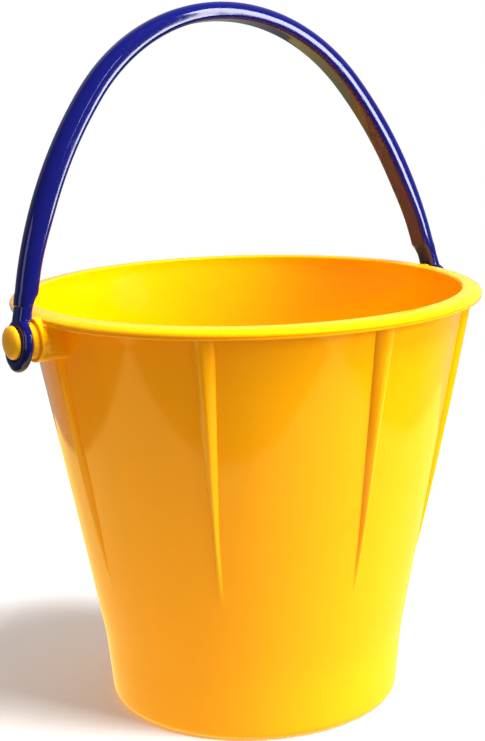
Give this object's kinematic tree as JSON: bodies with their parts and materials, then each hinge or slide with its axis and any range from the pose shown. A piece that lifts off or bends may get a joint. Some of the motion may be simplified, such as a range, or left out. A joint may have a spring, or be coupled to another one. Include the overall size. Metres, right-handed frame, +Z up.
{
  "type": "sand bucket",
  "caption": "Tapered round sand bucket with a rolled rim, outside ribs and a swinging arched carrying handle on snap-in pivot pins.",
  "frame": {"origin": "centre of the foot, on the surface that the bucket stands on", "axes": "+Z up along the bucket's axis, X along the handle's pivot axis, +Y to the side that the handle leans to at rest"},
  "size_m": [0.2072, 0.1824, 0.2724],
  "materials": {
    "bucket_shell": "glossy yellow injection-moulded polypropylene, slightly translucent",
    "handle": "glossy dark blue injection-moulded polypropylene",
    "pivot_pins": "glossy yellow injection-moulded polypropylene"
  },
  "bodies": {
    "bucket": {"bucket_shell": "bucket_shell", "left_pivot_pin": "pivot_pins", "right_pivot_pin": "pivot_pins"},
    "handle": {"handle": "handle"}
  },
  "joints": [
    {"name": "handle_swing", "type": "hinge", "parent": "bucket", "child": "handle", "pos_m": [0, 0, 0.155], "axis": [1, 0, 0], "range_deg": [-131, 144]}
  ]
}
